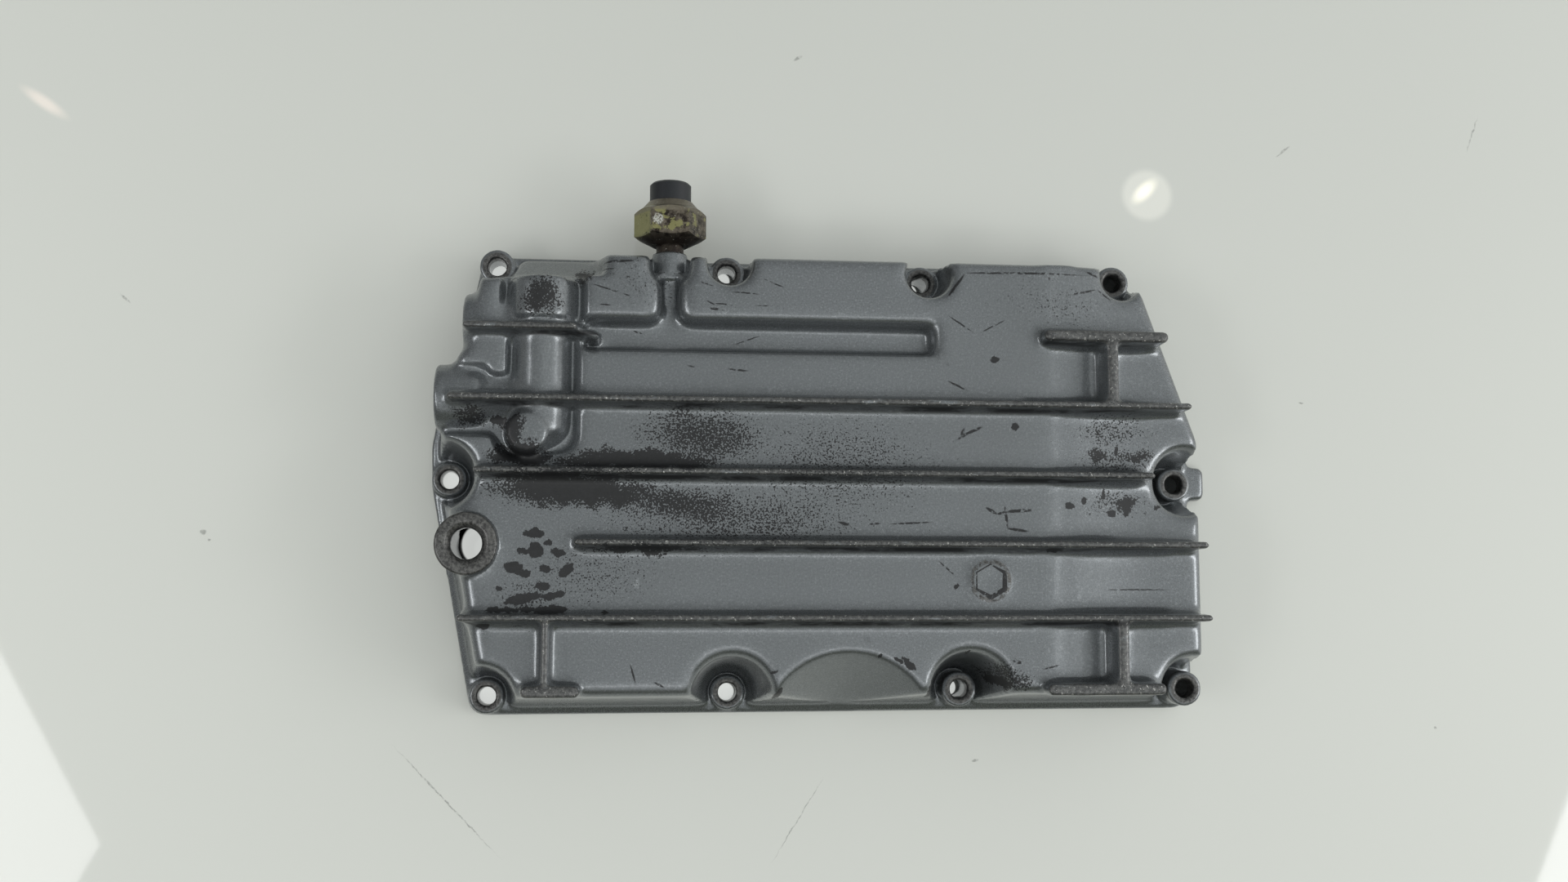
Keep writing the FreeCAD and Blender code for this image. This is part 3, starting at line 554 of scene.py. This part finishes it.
def soot_amount(t, left, right):
    """How dense the soot is at a place, from the marks near a strip."""
    where = t.shaken(*SOOT_EDGE)
    total = 0.0
    for x, y, a, b, turn, dense in nearby(SOOT, left, right):
        one = t.ramp(t.oval(where, x, y, a, b, turn), *SOOT_FADE, dense, 0.0)
        total = t.top(total, one)
    return total


def foundry_marks(t, x, y):
    """The small round boss: its rubbed rim, and the outline of the sunken hexagon on it drawn dark as
    painted shade.
    """
    u = t.sub(x, FOUNDRY[0] * MM)
    v = t.sub(y, FOUNDRY[1] * MM)
    across = t.size(u)
    for turn in (60, 120):
        side = t.add(t.mul(u, math.cos(math.radians(turn))), t.mul(v, math.sin(math.radians(turn))))
        across = t.top(across, t.size(side))
    # the painted shade is thicker on its lower right, where the sunken wall shows
    thick = t.band(t.sub(u, v), *HEX_BAND, HEX_LINE[0] * MM, HEX_LINE[1] * MM)
    off = t.size(t.sub(across, FOUNDRY_HEX * MM))
    hex_shade = t.math("GREATER_THAN", thick, off)
    reach = t.math("SQRT", t.add(t.mul(u, u), t.mul(v, v)))
    rim = t.band(t.size(t.sub(reach, FOUNDRY_RIM_R * MM)), *RIM_BAND)
    return rim, hex_shade


def rib_foot_shade(t, x, y):
    """The foot of each rib's lower flank, darkened there as painted shade."""
    flank = 0.0
    for line, start, end in RIBS:
        one = t.size(t.sub(y, (line - FLANK_OFFSET) * MM))
        one = t.band(one, *FLANK_BAND)
        along = t.size(t.sub(x, (start + end) / 2 * MM))
        one = t.mul(one, t.band(along, (end - start) / 2 - FLANK_END, (end - start) / 2, 1.0, 0.0))
        flank = t.top(flank, one)
    return flank


def bare_faces(t, left, right):
    """Machined faces of the drain and of the bolt bosses near a strip."""
    drain_x, drain_y, drain_z = DRAIN
    drain = t.oval(t.pos, drain_x, drain_y, DRAIN_R, DRAIN_R, 0, drain_z - DRAIN_SINK, DRAIN_DEEP)
    bare = t.ramp(drain, *DRAIN_BORDER)
    for x, y, z in [row for row in BOLTS if left - BOSS_SPARE < row[0] < right + BOSS_SPARE]:
        one = t.oval(t.pos, x, y, BOSS_R, BOSS_R, 0, z - BOSS_SINK, BOSS_DEEP)
        bare = t.top(bare, t.ramp(one, *BOSS_BORDER))
    return bare


def pan_material(name, left, right):
    """The paint of a strip of the pan; each strip has only its own marks, to keep the shader small."""
    t = Finish(name)
    x, y, z = t.axes()
    facing_up = t.ramp(t.upright(), *UPWARD)
    broad = t.noise(*BROAD)
    grain = t.noise(*GRAIN)
    fleck = t.noise(*FLECK)
    peel = t.noise(*PEEL)
    colour = t.mix(broad, PAINT_DEEP, PAINT_PALE)
    colour = t.mix(t.ramp(fleck, *LIGHT_FLECKS), colour, FLECK_LIGHT)
    colour = t.mix(t.ramp(fleck, *DARK_FLECKS), colour, FLECK_DARK)

    # chips and scratches down to the dark primer
    times, plus = CHIP_WIDER
    wide = [
        (a, b, c * CHIP_LONGER, d * times + plus, turn)
        for a, b, c, d, turn in nearby(CHIPS, left, right)
    ]
    chips = t.ramp(t.ovals(t.shaken(*CHIP_EDGE), wide), *CHIP_BORDER)
    times, plus = LINE_WIDER
    thick = [
        (a, b, c, d * times + plus, turn)
        for a, b, c, d, turn in nearby(SCRATCHES, left, right)
    ]
    lines = t.ramp(t.ovals(t.shaken(*LINE_EDGE), thick), *LINE_BORDER)
    lines = t.mul(lines, t.ramp(t.noise(*LINE_GAPS), *LINE_BREAKS))
    worn = t.mul(t.top(chips, lines), facing_up)

    # soot and flaked paint as dense or thin speckle
    dense = t.mul(soot_amount(t, left, right), facing_up)
    cut = t.sub(CLEAN, t.mul(dense, SOOT_SHARE))
    speck = t.add(t.mul(t.noise(*SPECK), SPECK_SHARE), t.mul(t.noise(*PATCH), PATCH_SHARE))
    soot = t.ramp(speck, t.sub(cut, SOOT_BLUR), t.add(cut, SOOT_BLUR))

    # rubbed rib crests, with bright dots, and painted shade along the foot of each rib's lower flank
    crest = t.band(z, *[CREST_Z + below for below in CREST_BAND])
    rub = t.mul(crest, t.ramp(t.noise(*CREST_RUB), *RUBBED))
    bright = t.mul(crest, t.ramp(t.noise(*CREST_DOTS), *DOTTED))
    flank = t.mul(rib_foot_shade(t, x, y), t.ramp(t.noise(*FLANK_SHADE_NOISE), *FLANK_SHADE_PATCHES))
    flank = t.mul(t.mul(flank, facing_up), t.band(z, *FLANK_Z))

    metal = t.top(t.mul(rub, RUB_SHARE), bare_faces(t, left, right))
    dark = t.top(t.top(worn, soot), flank)
    if right > FOUNDRY[0] > left:
        rim, hex_shade = foundry_marks(t, x, y)
        metal = t.top(metal, t.mul(rim, t.ramp(t.noise(*RIM_RUB), *RIM_WORN)))
        # painted shade: the sunken hexagon's outline is drawn dark
        dark = t.top(dark, t.mul(hex_shade, t.ramp(t.noise(*HEX_SHADE_NOISE), *HEX_LEFT)))
    metal_tone = t.mix(t.ramp(t.noise(*METAL_TONE), *TONES), METAL_DARK, METAL_PALE)
    primer_tone = t.mix(t.noise(*PRIMER_TONE), PRIMER_DARK, PRIMER_PALE)
    colour = t.mix(metal, colour, metal_tone)
    colour = t.mix(dark, colour, primer_tone)
    colour = t.mix(bright, colour, METAL_DOT)

    rough = t.blend(broad, *PAINT_ROUGH)
    rough = t.add(rough, t.mul(t.sub(grain, 0.5), GRAIN_ROUGH))
    rough = t.blend(t.top(metal, dark), rough, BARE_ROUGH)
    t.look(base_color=colour, roughness=rough)
    t.look(metallic=t.blend(dark, *PAINT_METALLIC))
    t.look(coat_weight=t.blend(dark, *PAINT_COAT), coat_roughness=COAT_ROUGH)
    depth = t.add(t.mul(peel, PEEL_DEPTH), t.mul(grain, GRAIN_DEPTH))
    t.look(normal=t.bump(depth, *PAINT_BUMP))
    return t.mat


# Materials of the switch
def steel_material():
    t = Finish("plated_steel")
    x, y = t.axes()[:2]
    blot = t.noise(*BLOT)
    fine = t.noise(*FINE)
    colour = t.mix(t.ramp(blot, *STEEL_BLOTS), STEEL_DARK, STEEL_PALE)
    # olive passivation is left on the side facet and in a few blots
    olive = t.ramp(t.noise(*OLIVE), *OLIVE_BLOTS)
    olive = t.mul(olive, t.band(y, *OLIVE_FRONT_Y))
    olive = t.top(olive, t.mul(t.band(x, *OLIVE_SIDE_X), t.ramp(blot, *OLIVE_KEPT)))
    olive = t.mul(olive, t.band(y, *OLIVE_Y))
    colour = t.mix(t.mul(olive, OLIVE_SHARE), colour, OLIVE_FILM)
    silver = t.ramp(t.oval(t.shaken(*SILVER_EDGE), *SILVER_SPOT), *SILVER_BORDER)
    colour = t.mix(t.mul(silver, t.ramp(fine, *SILVER_GRAIN)), colour, SILVER)
    # the thread and the cone under the hexagon are oily and nearly black
    colour = t.mix(t.band(y, *OILY_Y), colour, OILY)
    colour = t.mix(t.mul(t.band(y, *COLLAR_Y), COLLAR_SHARE), colour, COLLAR)
    colour = t.mix(t.ramp(fine, *SPARKLES), colour, SPARKLE)
    t.look(base_color=colour, metallic=STEEL_METALLIC, roughness=t.blend(blot, *STEEL_ROUGH))
    t.look(normal=t.bump(t.add(blot, t.mul(fine, FINE_DEPTH)), *STEEL_BUMP))
    return t.mat


def plastic_material():
    t = Finish("black_plastic")
    grain = t.noise(*MOULDED)
    t.look(base_color=t.mix(grain, PLASTIC_DARK, PLASTIC_PALE), roughness=t.blend(grain, *PLASTIC_ROUGH))
    t.look(normal=t.bump(grain, *PLASTIC_BUMP))
    return t.mat


def assign(name, mat):
    """Gives a node's solid its material."""
    obj = NODES[name]
    for s in obj.material_slots:
        s.material = mat
    if not obj.material_slots:
        obj.data.materials.append(mat)


# The casting's soft skin
def spread(edges, values, count):
    """Mean of each vertex's neighbours."""
    total = np.empty_like(values)
    for axis in range(3):
        near = np.bincount(edges[:, 0], values[edges[:, 1], axis], len(values))
        near += np.bincount(edges[:, 1], values[edges[:, 0], axis], len(values))
        total[:, axis] = near
    return total / count[:, None]


def read(what, attribute, width):
    """A mesh's values as rows of numbers."""
    out = np.empty(len(what) * width, dtype=np.int32 if attribute == "vertices" else np.float32)
    what.foreach_get(attribute, out)
    return out.reshape(-1, width)


def write(mesh, co):
    """Moves a mesh's vertices to new places."""
    mesh.vertices.foreach_set("co", co.astype(np.float32).ravel())
    mesh.update()


def machined(co):
    """Vertices of bores and faces that a cutter left sharp."""
    keep = np.zeros(len(co), dtype=bool)
    for x, y, _ in BOLTS:
        keep |= np.hypot(co[:, 0] - x * MM, co[:, 1] - y * MM) < SHARP_BOLT_R * MM
    keep |= np.hypot(co[:, 0] - DRAIN[0] * MM, co[:, 1] - DRAIN[1] * MM) < SHARP_DRAIN_R * MM
    keep |= co[:, 0] < SHARP_PORT_X * MM
    switch = np.hypot(co[:, 0] - SWITCH_X * MM, co[:, 2] - SWITCH_Z * MM) < SHARP_SWITCH_R * MM
    keep |= switch & (co[:, 1] > SHARP_SWITCH_Y * MM)
    return keep


def eased(x, start, end):
    """Share of a soft change from 0 to 1."""
    t = np.clip((x - start) / (end - start), 0.0, 1.0)
    return t * t * (3.0 - 2.0 * t)


def arched(x, start, end):
    """Share of a fall made of two equal arcs."""
    t = np.clip((x - start) / (end - start), 0.0, 1.0)
    return np.where(t < 0.5, 2 * t * t, 1 - 2 * (1 - t) ** 2)


def soften_fall(co):
    """Spreads the ramp to the shallow end over a longer stretch of the skin; rib crests stay."""
    x = co[:, 0] / MM
    z = co[:, 2] / MM
    lift = (DEEP_Z - SHALLOW_Z) * (arched(x, *RAMP) - eased(x, *FALL))
    weight = eased(z, *FALL_GROWS) * (1.0 - eased(z, *FALL_FADES))
    co[:, 2] += lift * weight * MM


def settle(mesh):
    """Smooths the whole skin a little and fills its valleys, as sand casting and paint do."""
    edges = read(mesh.edges, "vertices", 2).astype(np.int64)
    co = read(mesh.vertices, "co", 3).astype(np.float64)
    count = np.bincount(edges.ravel(), minlength=len(co)).astype(np.float64)
    soften_fall(co)
    fixed = machined(co)
    thin = fixed | (co[:, 2] > (DEEP_Z + RIB_FOOT) * MM) | (co[:, 2] < FLANGE_FOOT * MM)
    for turn in range(SKIN_PASSES + EDGE_PASSES + VALLEY_PASSES):
        step = spread(edges, co, count) - co
        if turn < SKIN_PASSES:
            co += PASS_SHARE * step
        elif turn < SKIN_PASSES + EDGE_PASSES:
            co[~thin] += PASS_SHARE * step[~thin]
        else:
            if (turn - SKIN_PASSES - EDGE_PASSES) % NORMALS_EVERY == 0:
                write(mesh, co)
                normal = read(mesh.vertex_normals, "vector", 3)
            hollow = ((step * normal).sum(axis=1) > 0) & ~fixed
            co[hollow] += PASS_SHARE * step[hollow]
    # flat faces get a very slight unevenness, so that thinning the mesh leaves no slivers on them
    co += np.random.default_rng(SEED).normal(0.0, UNEVEN, co.shape)
    write(mesh, co)


def bake(obj):
    """Applies the modifiers of an object to its mesh."""
    graph = bpy.context.evaluated_depsgraph_get()
    mesh = bpy.data.meshes.new_from_object(obj.evaluated_get(graph))
    obj.modifiers.clear()
    obj.data = mesh


def soft_pan():
    """The casting with rounded edges and filled valleys, in place of the CAD solid."""
    source = NODES["oil_pan"]
    mesh = source.data.copy()
    mesh.materials.clear()
    obj = bpy.data.objects.new("pan_casting", mesh)
    bpy.context.scene.collection.objects.link(obj)
    bm = bmesh.new()
    bm.from_mesh(mesh)
    bmesh.ops.remove_doubles(bm, verts=bm.verts, dist=WELD)
    bm.to_mesh(mesh)
    bm.free()
    skin = obj.modifiers.new("skin", "REMESH")
    skin.mode = "VOXEL"
    skin.voxel_size = SKIN_VOXEL
    bake(obj)
    settle(obj.data)
    # each face of the skin is two triangles
    thin = obj.modifiers.new("thin", "DECIMATE")
    thin.ratio = min(1.0, SKIN_TRIANGLES / (2.0 * len(obj.data.polygons)))
    bake(obj)
    obj.data.polygons.foreach_set("use_smooth", [True] * len(obj.data.polygons))
    paint_strips(obj.data)
    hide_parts("oil_pan")
    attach(obj, "root")


def paint_strips(mesh):
    """Gives each strip of the pan, cut by the values of STRIPS, its own paint."""
    centre = read(mesh.polygons, "center", 3)[:, 0]
    edges = (-STRIP_REACH,) + STRIPS + (STRIP_REACH,)
    for i in range(len(edges) - 1):
        mesh.materials.append(pan_material("cast_paint_%d" % (i + 1), edges[i], edges[i + 1]))
    index = np.searchsorted(np.array(STRIPS) * MM, centre).astype(np.int32)
    mesh.polygons.foreach_set("material_index", index)
    mesh.update()


# Surroundings
def panel(name, corners, glow):
    """A bright softbox or window that the table mirrors."""
    mesh = bpy.data.meshes.new(name)
    mesh.from_pydata(corners, [], [(0, 1, 2, 3)])
    obj = bpy.data.objects.new(name, mesh)
    bpy.context.scene.collection.objects.link(obj)
    mat = bpy.data.materials.new(name)
    mat.use_nodes = True
    nt = mat.node_tree
    nt.nodes.clear()
    out = nt.nodes.new("ShaderNodeOutputMaterial")
    light = nt.nodes.new("ShaderNodeEmission")
    light.inputs[0].default_value = WHITE_GLOW
    light.inputs[1].default_value = glow
    nt.links.new(light.outputs[0], out.inputs[0])
    mesh.materials.append(mat)


def table_material():
    t = Finish("table")
    colour = t.mix(t.noise(*CLOUD), TABLE_DARK, TABLE_PALE)
    worn = t.ramp(t.ovals(t.shaken(*SCRATCH_EDGE), TABLE_MARKS), *SCRATCH_BORDER)
    worn = t.mul(worn, t.ramp(t.noise(*TABLE_RUB), *SCRATCH_SHARE))
    colour = t.mix(worn, colour, TABLE_SCRATCH)
    # painted shade: the table is darkened under the drain, for the pan's dark hollow seen through it
    shade = t.ramp(t.oval(t.pos, *DRAIN_SHADE_SPOT), *DRAIN_SHADE_BORDER)
    colour = t.mix(shade, colour, DRAIN_SHADE_COLOUR)
    t.look(base_color=colour, roughness=TABLE_ROUGH)
    # painted light: the table glows under the bolt holes and the drain
    painted_glow = 0.0
    for x, y, a, b in PAINTED_GLOW_SPOTS:
        painted_glow = t.top(painted_glow, t.ramp(t.oval(t.pos, x, y, a, b), *PAINTED_GLOW_BORDER))
    # painted reflections of two lamps, drawn as glow on the table
    pink_reflection = t.mul(t.ramp(t.oval(t.pos, *PINK_REFLECTION), *PINK_BORDER), PINK_REFLECTION_SHARE)
    disc = t.mul(t.ramp(t.oval(t.pos, *REFLECTION_DISC), *DISC_BORDER), REFLECTION_DISC_SHARE)
    warm_reflection = t.mul(t.ramp(t.oval(t.pos, *WARM_REFLECTION), *WARM_BORDER), WARM_REFLECTION_SHARE)
    glow = t.mix(painted_glow, NO_LIGHT, PAINTED_GLOW_COLOUR)
    glow = t.mix(pink_reflection, glow, PINK_GLOW)
    glow = t.mix(disc, glow, DISC_GLOW)
    glow = t.mix(warm_reflection, glow, WARM_GLOW)
    t.look(emission_color=glow, emission_strength=1.0)
    return t.mat


def world_light():
    """A pale room, brighter to the right and near side, and a dim olive low down towards -y."""
    world = bpy.data.worlds.new("world")
    bpy.context.scene.world = world
    world.use_nodes = True
    back = world.node_tree.nodes["Background"]
    t = Tree(world.node_tree, "Generated")
    x, y, z = t.axes()
    dim = t.mul(t.ramp(y, *DIM_Y), t.ramp(z, *DIM_Z))
    room = t.mix(t.ramp(t.size(x), *SIDES), ROOM, ROOM_SIDE)
    slope = t.sub(t.mul(t.low(x, MOST_X), LIGHT_BY_X), t.mul(t.top(y, LEAST_Y), LIGHT_BY_Y))
    slope = t.add(ROOM_LIGHT, slope)
    t.put(back.inputs[0], t.mix(dim, room, ROOM_DIM))
    t.put(back.inputs[1], t.top(slope, LEAST_LIGHT))


def surroundings():
    bpy.ops.object.select_all(action="DESELECT")
    bpy.ops.mesh.primitive_plane_add(size=TABLE_SIZE, location=(0, 0, 0))
    floor = bpy.context.object
    floor.name = "table"
    floor.data.materials.append(table_material())
    world_light()
    for name, corners, glow in PANELS:
        panel(name, corners, glow)


set_camera()
surroundings()
soft_pan()
assign("switch_body", steel_material())
assign("switch_cap", plastic_material())

bpy.context.scene.view_settings.view_transform = "Standard"
bpy.context.view_layer.update()
